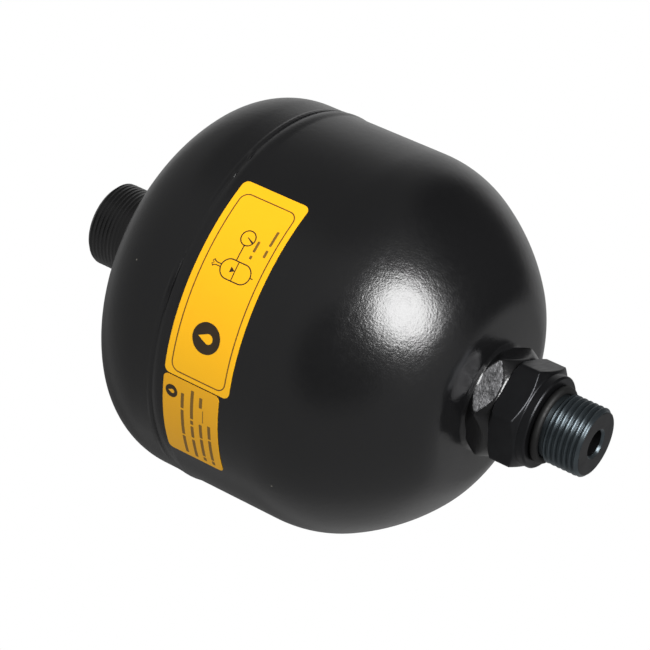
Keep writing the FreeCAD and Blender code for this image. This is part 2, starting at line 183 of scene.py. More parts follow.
# Polyester film, screen printed yellow or ochre and varnished: smooth, with a faint ripple from the glue
varnishedFilm = {
    "roughnessSpread": 0.03, "ior": 1.4, "coarseMm": 5.0, "coarseHeight": 0.02,
    "fineMm": 0.8, "fineHeight": 0.003,
}
yellowFilm, *_ = makeSurface("printedYellowPolyesterFilm", {
    **varnishedFilm, "colour": "#ffc004", "drift": "#fdb804", "driftMm": 22, "roughness": 0.5})
ochreFilm, *_ = makeSurface("printedOchrePolyesterFilm", {
    **varnishedFilm, "colour": "#f0b00a", "drift": "#e9a609", "driftMm": 18, "roughness": 0.52})

# Screen printing ink, dried on the film, flat and satin: black-brown for the signs, brown for the
# border, and thinned to a light brown for the bars
driedInk = {
    "roughness": 0.45, "roughnessSpread": 0.04, "coarseMm": 1.0, "coarseHeight": 0.002,
    "fineMm": 0.3, "fineHeight": 0.002,
}
lineInk, *_ = makeSurface("screenPrintedInk", {
    **driedInk, "colour": "#2d2213", "drift": "#3a2c18", "driftMm": 3})
borderInk, *_ = makeSurface("brownScreenPrintedInk", {
    **driedInk, "colour": "#5e3a10", "drift": "#6c4516", "driftMm": 3})
barInk, *_ = makeSurface("thinnedScreenPrintedInk", {
    **driedInk, "colour": "#8a661c", "drift": "#745416", "driftMm": 1.2})
print("materials made")


# One piece of mesh that rides on the housing. stands is the CAD node that it stands for, and sharp the
# degrees past which an edge stays crisp.
def makePiece(name, vertices, faces, material, slot, stands=None, sharp=38):
    mesh = bpy.data.meshes.new(name)
    mesh.from_pydata((np.array(vertices) * mm).tolist(), [], faces)
    work = bmesh.new()
    work.from_mesh(mesh)
    bmesh.ops.remove_doubles(work, verts=work.verts, dist=1e-7)
    bmesh.ops.recalc_face_normals(work, faces=work.faces)
    for face in work.faces:
        face.smooth = True
    for edge in work.edges:
        if len(edge.link_faces) == 2 and edge.calc_face_angle(0.0) > math.radians(sharp):
            edge.smooth = False
    work.to_mesh(mesh)
    work.free()
    piece = bpy.data.objects.new(name, mesh)
    bpy.context.scene.collection.objects.link(piece)
    mesh.materials.append(material)
    piece.modifiers.new("evenShading", "WEIGHTED_NORMAL").keep_sharp = True
    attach(piece, "housing")
    if stands:
        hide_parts(stands)
    return piece


# Turns a closed outline of (r, z) or (r, z, tag) points about the axis.
# shapeAt gives each tagged ring its own radius round the turn.
def turnOutline(outline, segments, shapeAt=None):
    angles = np.linspace(0, 2 * math.pi, segments, endpoint=False)
    vertices, faces = [], []
    for r, z, *tag in outline:
        radii = shapeAt(tag[0], angles, r, z) if tag else np.full(segments, float(r))
        vertices.extend(zip(radii * np.cos(angles), radii * np.sin(angles), np.full(segments, z)))
    for ring in range(len(outline)):
        here, there = ring * segments, (ring + 1) % len(outline) * segments
        for j in range(segments):
            k = (j + 1) % segments
            faces.append((here + j, here + k, there + k, there + j))
    return vertices, faces


# Breaks each corner of an outline that turns by 20 degrees or more with a small round, so that its
# edge catches the light
def easeCorners(outline, size):
    eased = []
    for i, point in enumerate(outline):
        corner = np.array(point, float)
        back, ahead = np.array(outline[i - 1]) - corner, np.array(outline[(i + 1) % len(outline)]) - corner
        backLength, aheadLength = np.linalg.norm(back), np.linalg.norm(ahead)
        turn = math.degrees(math.acos(max(-1, min(1, -back @ ahead / (backLength * aheadLength)))))
        if turn < 20:
            eased.append(point)
            continue
        cut = min(size, 0.4 * backLength, 0.4 * aheadLength)
        start, end = corner + back / backLength * cut, corner + ahead / aheadLength * cut
        for t in (0.0, 0.5, 1.0):
            eased.append(tuple((1 - t) ** 2 * start + 2 * t * (1 - t) * corner + t * t * end))
    return eased


def softMin(first, second, ease):
    low = np.minimum(first, second)
    return low - ease * np.log(np.exp((low - first) / ease) + np.exp((low - second) / ease))


def hexRadius(angles, flats, turnDegrees, ease):
    radius = np.full(len(angles), 10.0 * flats)
    for k in range(6):
        facing = np.cos(angles - math.radians(turnDegrees + 30 + 60 * k))
        side = 0.5 * flats / np.maximum(facing, 0.1)  # a side that faces away lies far out
        radius = softMin(radius, side, ease)
    return radius


# A hexagon of bar, cut where the turned radius r is smaller
def hexShape(bar, angles, r):
    return softMin(hexRadius(angles, bar["flats"], bar["turn"], bar["ease"]),
                   np.full(len(angles), float(r)), bar["ease"])


def hexRows(points, step=0.4):  # close rows along a hexagon and the cones at its ends
    rows = []
    for (r0, z0), (r1, z1) in zip(points, points[1:]):
        count = max(1, math.ceil(math.hypot(r1 - r0, z1 - z0) / step))
        rows += [(r0 + (r1 - r0) * i / count, z0 + (z1 - z0) * i / count, "hex") for i in range(count)]
    return rows + [(*points[-1], "hex")]


# Right-handed thread cut into its major radius. The form is the depth, half the crest land and the
# root, as shares of the pitch.
def threadCut(angles, z, pitch, depth, land, root):
    phase = (z / pitch - angles / (2 * math.pi)) % 1.0
    t = np.clip((np.abs(phase - 0.5) - land) / (root - land), 0, 1)
    return depth * pitch * t * t * (3 - 2 * t)


def threadRows(low, high, step):  # their radius is given by the thread's shape
    count = max(2, round((high - low) / step))
    return [(1.0, low + (high - low) * i / count, "thread") for i in range(count + 1)]


def rippled(weld):  # the ripples of a weld bead, for turnOutline
    count = round(2 * math.pi * weld["rippleRadius"] / weld["ripplePitch"])

    def shapeAt(tag, angles, r, z):
        wave = np.abs(np.sin(0.5 * count * angles + 0.4 * np.sin(3 * angles))) - 0.6
        return r + weld["rippleHeight"] * wave
    return shapeAt


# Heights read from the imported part
seamZ = 0.5 * (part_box("girth_weld")[0].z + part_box("girth_weld")[1].z) / mm
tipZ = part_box("adapter")[0].z / mm
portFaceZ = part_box("port_boss")[0].z / mm
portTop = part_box("port_boss")[1].z / mm
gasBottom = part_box("gas_boss")[0].z / mm
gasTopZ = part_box("gas_boss")[1].z / mm

# Shell: two pressed halves, each a straight part, a run of tangent arcs (bend radius, and the degrees
# from the axis where it ends) and a ball cap with a hole for its boss
shell = {
    "radius": 62.0, "wall": 5.5, "segments": 224, "arcStep": 2.0, "crownRows": 8, "straightRows": 6,
    "fluidStraight": 36.5, "fluidArcs": [(40.0, 62.0), (69.5, 40.5), (37.0, 28.0), (18.0, 4.0)],
    "fluidHole": 14.5, "gasStraight": 7.4, "gasArcs": [(24.0, 45.0), (44.0, 27.0)], "gasHole": 12.0,
    "bandHeight": 0.38, "bandDrop": 3.0, "bandSlope": 1.3, "bandRows": 16, "weldCap": 1.2, "weldRoot": 0.6,
}
inside = shell["radius"] - shell["wall"]
fluidTangentZ = seamZ - shell["fluidStraight"]
gasTangentZ = seamZ + shell["gasStraight"]
bandFoot = shell["bandDrop"] + 2 * shell["bandSlope"]
bandBend = shell["bandSlope"] ** 2 / shell["bandHeight"] + 0.25 * shell["bandHeight"]


# The line of one end, from its straight part in to endRadius. side is 1 for the gas end and -1 for
# the fluid end, and inset is how far the line lies inside the outer surface.
def shellEnd(arcs, tangentZ, side, endRadius, inset):
    radius, height, degrees = shell["radius"], tangentZ, 90.0
    points = [(radius - inset, height)]
    for bend, endDegrees in arcs:
        angle, endAngle = math.radians(degrees), math.radians(endDegrees)
        centreR, centreZ = radius - bend * math.sin(angle), height - side * bend * math.cos(angle)
        steps = max(3, round((degrees - endDegrees) / shell["arcStep"]))
        for i in range(1, steps + 1):
            lean = math.radians(degrees + (endDegrees - degrees) * i / steps)
            points.append((centreR + (bend - inset) * math.sin(lean),
                           centreZ + side * (bend - inset) * math.cos(lean)))
        radius, height = centreR + bend * math.sin(endAngle), centreZ + side * bend * math.cos(endAngle)
        degrees = endDegrees
    ball = radius / math.sin(math.radians(degrees))
    centreZ = height - side * ball * math.cos(math.radians(degrees))
    for r in np.linspace(points[-1][0], endRadius, shell["crownRows"] + 1)[1:]:
        points.append((r, centreZ + side * math.sqrt((ball - inset) ** 2 - r * r)))
    return points


def crownHeight(arcs, tangentZ, side, r):  # where the outer surface lies at radius r
    return shellEnd(arcs, tangentZ, side, r, 0.0)[-1][1]


def bandRadius(drop):  # soft swell of the fluid half's rim, drop millimetres below the seam
    if drop < shell["bandDrop"] + shell["bandSlope"]:
        crest = shell["radius"] + shell["bandHeight"] - bandBend
        return crest + math.sqrt(bandBend ** 2 - (drop - shell["bandDrop"]) ** 2)
    return shell["radius"] + bandBend - math.sqrt(bandBend ** 2 - (bandFoot - drop) ** 2)


gasOutline = [(shell["radius"], seamZ + shell["weldCap"])]
gasOutline += shellEnd(shell["gasArcs"], gasTangentZ, 1, shell["gasHole"], 0.0)
gasOutline += shellEnd(shell["gasArcs"], gasTangentZ, 1, shell["gasHole"], shell["wall"])[::-1]
gasOutline += [(inside, seamZ + shell["weldRoot"])]
makePiece("gasShellSkin", *turnOutline(gasOutline, shell["segments"]), coatMaterial,
          "black_powder_coat", "gas_shell_half")

fluidOuter = shellEnd(shell["fluidArcs"], fluidTangentZ, -1, shell["fluidHole"], 0.0)
fluidInner = shellEnd(shell["fluidArcs"], fluidTangentZ, -1, shell["fluidHole"], shell["wall"])
fluidOutline = [(bandRadius(drop), seamZ - drop)
                for drop in np.linspace(shell["weldCap"], bandFoot, shell["bandRows"])]
fluidOutline += [(shell["radius"], z) for z in np.linspace(
    seamZ - bandFoot - 1, fluidTangentZ, shell["straightRows"], endpoint=False)]
fluidOutline += fluidOuter + fluidInner[::-1] + [(inside, seamZ - shell["weldRoot"])]
makePiece("fluidShellSkin", *turnOutline(fluidOutline, shell["segments"]), coatMaterial,
          "black_powder_coat", "fluid_shell_half")

# Girth weld: a low lip and a narrow groove, plainest where the dressing wheel left them, rippled where
# the torch ran last, with three spatter lumps, two of them run together. Angles are degrees round the
# axis. Each open stretch is its middle, its reach and how far the groove shows there, and each lump its
# angle, its height above the seam and how far it stands out.
girthWeld = {
    "lip": 0.32, "lipOffset": 0.35, "edge": 0.12, "edgeOffset": 0.45, "groove": 0.25, "grooveOffset": 0.75,
    "ripplePitch": 1.9, "ripple": 0.1, "rippleMiddle": -35.0, "rippleReach": 24.0, "still": 0.018,
    "calm": 0.3, "open": ((-146.0, 13.0, 0.5), (-96.0, 7.0, 0.8), (-31.0, 15.0, 0.5)),
    "lumps": ((-59.5, -0.8, 0.34), (-52.7, -0.8, 0.4), (-51.2, -0.3, 0.3)),
    "lumpDegrees": 0.8, "lumpHalfHeight": 0.5, "rows": 4, "segments": 560,
}


def weldShape(rippleShare, angles, r, z):
    turned = np.degrees((angles + math.pi) % (2 * math.pi)) - 180
    strong = np.exp(-((turned - girthWeld["rippleMiddle"]) / girthWeld["rippleReach"]) ** 2)
    count = round(2 * math.pi * shell["radius"] / girthWeld["ripplePitch"])
    wave = np.abs(np.sin(0.5 * count * angles + 1.3 * np.sin(7 * angles) + 0.8 * z)) - 0.6
    relief = girthWeld["calm"] + sum(share * np.exp(-((turned - middle) / reach) ** 2)
                                     for middle, reach, share in girthWeld["open"])
    rimStep = bandRadius(shell["weldCap"]) - shell["radius"]  # level is the surface with no seam on it
    level = shell["radius"] + rimStep * 0.5 * (1 - (z - seamZ) / shell["weldCap"])
    ripple = girthWeld["still"] * relief + girthWeld["ripple"] * strong
    radii = level + (r - level) * relief + ripple * wave * rippleShare
    for degrees, offset, height in girthWeld["lumps"]:
        near = ((turned - degrees) / girthWeld["lumpDegrees"]) ** 2
        near = near + ((z - seamZ - offset) / girthWeld["lumpHalfHeight"]) ** 2
        radii = radii + height * np.exp(-near)
    return radii


weldRun = [
    (shell["radius"], shell["weldCap"]), (shell["radius"] + girthWeld["lip"], girthWeld["lipOffset"]),
    (shell["radius"] + girthWeld["edge"], -girthWeld["edgeOffset"]),
    (shell["radius"] - girthWeld["groove"], -girthWeld["grooveOffset"]),
    (bandRadius(shell["weldCap"]), -shell["weldCap"])]
weldOutline = [(inside, seamZ + shell["weldRoot"])]
for (r0, z0), (r1, z1) in zip(weldRun, weldRun[1:]):
    for i in range(girthWeld["rows"]):
        t = i / girthWeld["rows"]
        rippleShare = 0.0 if len(weldOutline) == 1 else 1.0  # still where it meets the gas half
        weldOutline.append((r0 + (r1 - r0) * t * t * (3 - 2 * t), seamZ + z0 + (z1 - z0) * t, rippleShare))
weldOutline += [(weldRun[-1][0], seamZ + weldRun[-1][1]), (inside, seamZ - shell["weldRoot"])]
makePiece("girthWeldSkin", *turnOutline(weldOutline, girthWeld["segments"], weldShape), coatMaterial,
          "black_powder_coat", "girth_weld", sharp=60)
print("shell made")

# Gas boss: fine thread outside, recess for the charging screw inside
gasBoss = {
    "threadRadius": 14.0, "pitch": 1.5, "threadLength": 13.6, "chamfer": 1.2, "form": (0.15, 0.0, 0.42),
    "runout": 4.0, "relief": 0.4, "body": 14.4, "spigot": 12.0, "recess": 10.2, "recessDepth": 9.5,
    "recessChamfer": 0.5, "pocket": 9.6, "pocketDepth": 1.9, "screwRadius": 7.0, "holeDepth": 12.6,
    "cone": 2.5, "passage": 2.5, "outerEase": 0.2, "innerEase": 0.12, "segments": 160, "rows": 12,
}
threadLow = gasTopZ - gasBoss["threadLength"]
gasFloor = gasTopZ - gasBoss["recessDepth"]
gasCrown = crownHeight(shell["gasArcs"], gasTangentZ, 1, gasBoss["body"])


def gasThread(tag, angles, r, z):
    fade = min(1.0, max(0.0, (z - threadLow) / (gasBoss["runout"] * gasBoss["pitch"])))
    cut = threadCut(angles, z, gasBoss["pitch"], *gasBoss["form"]) * fade
    tip = gasBoss["threadRadius"] - gasBoss["chamfer"] + (gasTopZ - z)
    return np.minimum(gasBoss["threadRadius"] - cut, tip)


bossOutline = easeCorners([
    (gasBoss["passage"], gasBottom), (gasBoss["spigot"], gasBottom), (gasBoss["spigot"], gasCrown),
    (gasBoss["body"], gasCrown), (gasBoss["body"], threadLow - gasBoss["relief"])], gasBoss["outerEase"])
bossOutline += threadRows(threadLow, gasTopZ, gasBoss["pitch"] / gasBoss["rows"])
bossOutline += easeCorners([
    (gasBoss["recess"] + gasBoss["recessChamfer"], gasTopZ),
    (gasBoss["recess"], gasTopZ - gasBoss["recessChamfer"]), (gasBoss["recess"], gasFloor),
    (gasBoss["pocket"], gasFloor), (gasBoss["pocket"], gasFloor - gasBoss["pocketDepth"]),
    (gasBoss["screwRadius"], gasFloor - gasBoss["pocketDepth"]),
    (gasBoss["screwRadius"], gasFloor - gasBoss["holeDepth"]),
    (gasBoss["passage"], gasFloor - gasBoss["holeDepth"] - gasBoss["cone"])], gasBoss["innerEase"])
makePiece("gasBossThreaded", *turnOutline(bossOutline, gasBoss["segments"], gasThread), coatMaterial,
          "black_powder_coat", "gas_boss", sharp=50)

# Weld under the gas boss. The foot is a row of radii on the shell, and the bead's and the top's
# points are each a radius and a height above the shell's crown.
bossWeld = {
    "foot": (14.4, 15.7, 17.0), "sink": 0.02, "bead": ((16.15, 0.34), (15.3, 0.93), (14.75, 1.7)),
    "top": (14.4, 2.55), "ripplePitch": 2.4, "rippleHeight": 0.09, "rippleRadius": 15.5, "segments": 240,
}
filletOutline = [(r, crownHeight(shell["gasArcs"], gasTangentZ, 1, r) - bossWeld["sink"])
                 for r in bossWeld["foot"]]
filletOutline += [(r, gasCrown + rise, "bead") for r, rise in bossWeld["bead"]]
filletOutline += [(bossWeld["top"][0], gasCrown + bossWeld["top"][1])]
makePiece("gasBossFillet", *turnOutline(filletOutline, bossWeld["segments"], rippled(bossWeld)),
          coatMaterial, "black_powder_coat", "gas_boss_weld", sharp=70)
print("gas boss made")

# Port boss: hexagon turned down at both ends, with a neck welded into the shell. The face's rim is
# three points, each a distance in from the flats and one back from the face. The flat that faces the
# softbox and the one opposite take a brighter steel as a painted sheen, picked by a radius and by how
# squarely they face.
portBoss = {
    "flats": 32.0, "corner": 18.2, "turn": 11.0, "hexLength": 9.0, "frontChamfer": 4.2, "backChamfer": 3.8,
    "faceRim": ((0.45, 0.0), (0.4, 0.03), (0.2, 0.2)), "neck": 15.6, "neckEase": (0.05, 0.15),
    "neckLength": 0.4, "spigot": 14.5, "mouth": 12.6, "mouthDepth": 2.6, "mouthCone": 0.6,
    "thread": 11.1125, "threadDepth": 11.6, "drillCone": 2.0, "passage": 5.0, "innerEase": 0.15,
    "segments": 300, "ease": 0.16, "sheenFlatRadius": 15.9, "sheenFlatFacing": 0.98,
}
portBackZ = portFaceZ + portBoss["hexLength"]
portNeckZ = portBackZ + portBoss["neckLength"]
portThreadZ, portMouthZ = portFaceZ + portBoss["threadDepth"], portFaceZ + portBoss["mouthDepth"]


def portShape(tag, angles, r, z):
    return hexShape(portBoss, angles, r)


faceRim = [(0.5 * portBoss["flats"] - inward, portFaceZ + back) for inward, back in portBoss["faceRim"]]
portOutline = easeCorners([
    (portBoss["passage"], portTop), (portBoss["passage"], portThreadZ + portBoss["drillCone"]),
    (portBoss["thread"], portThreadZ), (portBoss["thread"], portMouthZ + portBoss["mouthCone"]),
    (portBoss["mouth"], portMouthZ), (portBoss["mouth"], portFaceZ), faceRim[0]],
    portBoss["innerEase"])[:-1]
portOutline += hexRows(faceRim[1:] + [
    (portBoss["corner"], portFaceZ + portBoss["frontChamfer"]),
    (portBoss["corner"], portBackZ - portBoss["backChamfer"]),
    (portBoss["neck"] + portBoss["neckEase"][0], portBackZ)])
portOutline += [(portBoss["neck"], portBackZ + portBoss["neckEase"][1]), (portBoss["neck"], portNeckZ),
                (portBoss["spigot"], portNeckZ), (portBoss["spigot"], portTop)]
portPiece = makePiece("portBossCoated", *turnOutline(portOutline, portBoss["segments"], portShape),
                      coatMaterial, "black_powder_coat", "port_boss", sharp=24)
portPiece.data.materials.append(paintedSheenBar)  # on the flat that faces the softbox and the one opposite, as a painted sheen
sheenFlatAngle = math.radians(portBoss["turn"] + 90)
sheenFlatNormal = Vector((math.cos(sheenFlatAngle), math.sin(sheenFlatAngle), 0))
for polygon in portPiece.data.polygons:
    onHexagon = polygon.center.xy.length > portBoss["sheenFlatRadius"] * mm
    if onHexagon and abs(polygon.normal.dot(sheenFlatNormal)) > portBoss["sheenFlatFacing"]:
        polygon.material_index = 1

# Weld round the port: a hollow fillet from the back of the hexagon out to the shell. Each point of its
# run is a radius and a z.
portWeld = {
    "run": ((15.8, 23.95), (16.05, 24.3), (16.4, 24.68), (16.85, 25.02), (17.5, 25.32), (18.3, 25.53),
            (19.2, 25.66)),
    "rim": 19.8, "rimSink": 0.02, "rimInset": 0.4, "depth": 0.5,
    "ripplePitch": 2.8, "rippleHeight": 0.05, "rippleRadius": 17.0, "segments": 240,
}
rimZ = crownHeight(shell["fluidArcs"], fluidTangentZ, -1, portWeld["rim"]) + portWeld["rimSink"]
neckOutline = [(*point, "bead") for point in portWeld["run"]] + [
    (portWeld["rim"], rimZ), (portWeld["rim"] - portWeld["rimInset"], rimZ + portWeld["depth"]),
    (portWeld["run"][0][0], portBackZ + portWeld["depth"])]
makePiece("portWeldFillet", *turnOutline(neckOutline, portWeld["segments"], rippled(portWeld)),
          coatMaterial, "black_powder_coat", "port_boss_weld", sharp=70)
print("port boss made")

# Adapter: a stud at each end, a hexagon and a round collar
adapter = {
    "stud": 11.1125, "pitch": 25.4 / 14, "form": (0.56, 0.05, 0.44), "studLength": 16.0, "chamfer": 1.0,
    "tipSlope": 0.9, "tipFace": 0.3, "runout": 0.5, "undercut": 10.0, "undercutLength": 4.4,
    "undercutCone": 0.7, "innerUndercut": 3.4, "innerStud": 10.5, "bore": 4.2, "mouth": 4.9,
    "mouthCone": 0.7, "collar": 14.9, "collarLength": 3.0, "collarEdge": 0.5, "collarStep": 0.1,
    "flats": 31.0, "corner": 17.8, "back": 16.6, "turn": 17.6, "hexCone": 30.0,
    "mouthEase": 0.12, "collarEase": 0.18, "innerEase": 0.1, "segments": 240, "rows": 14, "ease": 0.14,
    "cutMargin": 0.1, "tipFacing": 0.95,
}
collarZ = tipZ + adapter["studLength"]
threadEnd = collarZ - adapter["undercutLength"]
hexLow = collarZ + adapter["collarLength"]
hexSlope = math.tan(math.radians(adapter["hexCone"]))
innerEnd = portFaceZ + adapter["innerStud"]


def adapterShape(tag, angles, r, z):
    if tag == "hex":
        return hexShape(adapter, angles, r)
    fade = min(1.0, max(0.0, (threadEnd - z) / adapter["runout"]))
    cut = threadCut(angles, z, adapter["pitch"], *adapter["form"]) * fade
    tip = adapter["stud"] - adapter["chamfer"] + (z - tipZ) / adapter["tipSlope"]
    return np.minimum(adapter["stud"] - cut, tip)


adapterOutline = easeCorners([
    (adapter["bore"], innerEnd), (adapter["bore"], tipZ + adapter["mouthCone"]), (adapter["mouth"], tipZ),
    (adapter["stud"] - adapter["chamfer"] - adapter["tipFace"], tipZ)], adapter["mouthEase"])[:-2]
adapterOutline += threadRows(tipZ, threadEnd, adapter["pitch"] / adapter["rows"])
adapterOutline += easeCorners([
    (adapter["undercut"], threadEnd + adapter["undercutCone"]), (adapter["undercut"], collarZ),
    (adapter["collar"] - adapter["collarEdge"], collarZ),
    (adapter["collar"], collarZ + adapter["collarEdge"]),
    (adapter["collar"], hexLow - adapter["collarStep"])], adapter["collarEase"])
adapterOutline += hexRows([
    (adapter["collar"], hexLow),
    (adapter["corner"], hexLow + (adapter["corner"] - adapter["collar"]) * hexSlope),
    (adapter["corner"], portFaceZ - (adapter["corner"] - adapter["back"]) * hexSlope),
    (adapter["back"], portFaceZ)])
adapterOutline += easeCorners([
    (adapter["undercut"], portFaceZ),
    (adapter["undercut"], portFaceZ + adapter["innerUndercut"] - adapter["undercutCone"]),
    (adapter["stud"], portFaceZ + adapter["innerUndercut"]),
    (adapter["stud"], innerEnd - adapter["chamfer"]),
    (adapter["stud"] - adapter["chamfer"], innerEnd)], adapter["innerEase"])
adapterPiece = makePiece(
    "adapterThreaded", *turnOutline(adapterOutline, adapter["segments"], adapterShape),
    blackSteel, "black_oxide_steel", "adapter", sharp=50)
adapterPiece.data.materials.append(cutSteel)  # on the stud and its undercut, but not on its flat tip
for polygon in adapterPiece.data.polygons:
    onStud = polygon.center.z < (collarZ - adapter["cutMargin"]) * mm
    if onStud and abs(polygon.normal.z) < adapter["tipFacing"]:
        polygon.material_index = 1

sealRing = {"radius": 11.3, "section": 1.3, "segments": 160, "around": 28}


def ringOutline(z):
    return [(sealRing["radius"] + sealRing["section"] * math.cos(a), z + sealRing["section"] * math.sin(a))
            for a in np.linspace(0, 2 * math.pi, sealRing["around"], endpoint=False)]


for name, node, z in (("studSealRing", "adapter_stud_seal", collarZ - sealRing["section"]),
                      ("portSealRing", "adapter_port_seal", portFaceZ + sealRing["section"])):
    makePiece(name, *turnOutline(ringOutline(z), sealRing["segments"]), sealRubber, "black_rubber", node)
print("adapter made")

# Labels: printed film wrapped on the straight part of the shell. Degrees are round the axis. Places on
# a label are (across, up): across runs round the shell and up along the axis, both from its middle.
mainLabel = {
    "node": "main_label", "slot": "yellow_label_film", "middleDegrees": -89.7, "spanDegrees": 59.35,
    "corner": 2.0, "borderLeft": 1.6, "borderRight": 3.9, "borderTop": 2.3, "borderBottom": 1.9,
    "borderCorner": 2.8, "line": 0.36,
}
smallLabel = {
    "node": "small_label", "slot": "ochre_label_film", "middleDegrees": -133.95, "spanDegrees": 28.25,
    "corner": 1.6,
}
film = {"inner": 62.05, "outer": 62.2, "inkLift": 0.03, "inkSink": 0.01, "grid": 1.2}


def labelPlace(label):
    low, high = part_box(label["node"])
    return {
        "slot": label["slot"], "middle": math.radians(label["middleDegrees"]),
        "middleZ": 0.5 * (low.z + high.z) / mm, "halfHeight": 0.5 * (high.z - low.z) / mm,
        "halfWidth": 0.5 * math.radians(label["spanDegrees"]) * film["outer"],
    }


def wrap(place, across, up, radius):
    angle = place["middle"] + across / film["outer"]
    return radius * math.cos(angle), radius * math.sin(angle), place["middleZ"] + up


# A flat closed shape cut from film or ink, wrapped on the shell and given a thickness
def wrapPatch(name, place, loops, inner, outer, material, stands=None):
    work = bmesh.new()
    for loop in loops:
        corners = [work.verts.new((x, y, 0)) for x, y in loop]
        for start, end in zip(corners, corners[1:] + corners[:1]):
            work.edges.new((start, end))
    bmesh.ops.triangle_fill(work, edges=work.edges[:], use_beauty=True)
    across = [v.co.x for v in work.verts]
    x = math.floor(min(across) / film["grid"]) * film["grid"] + film["grid"]
    while x < max(across):
        bmesh.ops.bisect_plane(work, geom=work.verts[:] + work.edges[:] + work.faces[:],
                               plane_co=(x, 0, 0), plane_no=(1, 0, 0))
        x += film["grid"]
    bmesh.ops.recalc_face_normals(work, faces=work.faces)
    flat = [tuple(v.co[:2]) for v in work.verts]
    work.verts.index_update()
    faces = [[v.index for v in f.verts] for f in work.faces]
    rim = [tuple(v.index for v in e.verts) for e in work.edges if len(e.link_faces) == 1]
    work.free()
    count = len(flat)
    vertices = [wrap(place, x, y, outer) for x, y in flat] + [wrap(place, x, y, inner) for x, y in flat]
    faces = faces + [[i + count for i in face[::-1]] for face in faces]
    faces += [(start, end, end + count, start + count) for start, end in rim]
    return makePiece(name, vertices, faces, material, place["slot"], stands, sharp=50)


def ink(name, place, loops, material=lineInk):
    wrapPatch(name, place, loops, film["outer"] - film["inkSink"], film["outer"] + film["inkLift"], material)


def roundedBox(left, right, low, high, corner, steps=12):
    points = []
    for centreX, centreY, start in (
            (right - corner, high - corner, 0), (left + corner, high - corner, 90),
            (left + corner, low + corner, 180), (right - corner, low + corner, 270)):
        for i in range(steps + 1):
            angle = math.radians(start + 90 * i / steps)
            points.append((centreX + corner * math.cos(angle), centreY + corner * math.sin(angle)))
    return points


def strokeLoop(points, width, closed=False):  # one outline round an open line, or two round a closed one
    line = np.array(points, float)
    count = len(line)
    normals = []
    for i in range(count):
        before = line[i - 1] if closed or i > 0 else line[i]
        after = line[(i + 1) % count] if closed or i < count - 1 else line[i]
        along = (after - before) / np.linalg.norm(after - before)
        normals.append((-along[1], along[0]))
    sideways = 0.5 * width * np.array(normals)
    left, right = (line + sideways).tolist(), (line - sideways).tolist()
    return [left, right] if closed else [left + right[::-1]]


def arc(x, y, r, start, end, steps):
    angles = [math.radians(start + (end - start) * i / steps) for i in range(steps + 1)]
    return [(x + r * math.cos(angle), y + r * math.sin(angle)) for angle in angles]


def circle(x, y, r, steps=40):
    return arc(x, y, r, 0, 360, steps)[:-1]


def dropShape(x, y, r, steps):
    return arc(x, y - 0.35 * r, r * 0.8, 150, 390, steps) + [(x, y + 1.5 * r)]


def moved(points, x, y):
    return [(x + across, y + up) for across, up in points]


mainPlace, smallPlace = labelPlace(mainLabel), labelPlace(smallLabel)
for name, label, place, material in (("mainLabelFilm", mainLabel, mainPlace, yellowFilm),
                                     ("smallLabelFilm", smallLabel, smallPlace, ochreFilm)):
    halfWidth, halfHeight = place["halfWidth"], place["halfHeight"]
    cutShape = roundedBox(-halfWidth, halfWidth, -halfHeight, halfHeight, label["corner"])
    wrapPatch(name, place, [cutShape], film["inner"], film["outer"], material, label["node"])

halfWidth, halfHeight = mainPlace["halfWidth"], mainPlace["halfHeight"]
border = roundedBox(-halfWidth + mainLabel["borderLeft"], halfWidth - mainLabel["borderRight"],
                    -halfHeight + mainLabel["borderBottom"], halfHeight - mainLabel["borderTop"],
                    mainLabel["borderCorner"])
ink("labelBorder", mainPlace, strokeLoop(border, mainLabel["line"], closed=True), borderInk)

# Vessel sign: a bottle with its oil level, a gauge beside it and a spreading jet above its neck.
# The arrow is drawn from the middle of the oil level, the needle from the gauge's middle, the neck
# from the bottle's top and the jet from its own top.
sign = {
    "x": 5.0, "y": -1.56, "half": 3.1, "straight": 2.2, "levelY": -1.35, "stub": 1.0, "jetTop": 6.9,
    "gaugeX": 15.58, "gaugeY": -0.2, "gaugeR": 2.4, "line": 0.36, "pipeLine": 0.34, "thinLine": 0.3,
    "jetLine": 0.28, "arrow": ((-0.95, 1.65), (0.95, 1.65), (0.0, 0.1)),
    "needle": ((0.3, 0.25), (0.1, 0.3), (-1.2, -2.05), (-0.6, -2.25)),
    "neck": ((0.42, -0.05), (0.42, 1.5), (0.65, 2.3), (1.1, 2.7)),
    "jet": ((-1.0, -0.5), (-0.45, 0.0), (0.0, -0.7), (0.45, 0.0), (1.0, -0.5)),
}
signX, levelY, gaugeX, gaugeY = sign["x"], sign["levelY"], sign["gaugeX"], sign["gaugeY"]
signLeft, signRight = signX - sign["half"], signX + sign["half"]
signTop = sign["y"] + sign["straight"] + sign["half"]
signFoot = sign["y"] - sign["straight"] - sign["half"]
bottle = arc(signX, sign["y"] + sign["straight"], sign["half"], 0, 180, 20)
bottle += arc(signX, sign["y"] - sign["straight"], sign["half"], 180, 351, 19)
ink("signVessel", mainPlace, strokeLoop(bottle, sign["line"], closed=True))
ink("signLevel", mainPlace, strokeLoop([(signLeft, levelY), (signRight, levelY)], sign["thinLine"]))
ink("signArrow", mainPlace, [moved(sign["arrow"], signX, levelY)])
ink("signGaugeLine", mainPlace,
    strokeLoop([(signRight, gaugeY), (gaugeX - sign["gaugeR"], gaugeY)], sign["pipeLine"]))
ink("signGauge", mainPlace, strokeLoop(circle(gaugeX, gaugeY, sign["gaugeR"]), sign["line"], closed=True))
ink("signNeedle", mainPlace, [moved(sign["needle"], gaugeX, gaugeY)])
for name, side in (("signNeckLeft", -1), ("signNeckRight", 1)):
    neck = [(side * across, up) for across, up in sign["neck"]]
    ink(name, mainPlace, strokeLoop(moved(neck, signX, signTop), sign["thinLine"]))
ink("signJet", mainPlace, strokeLoop(moved(sign["jet"], signX, sign["jetTop"]), sign["jetLine"]))
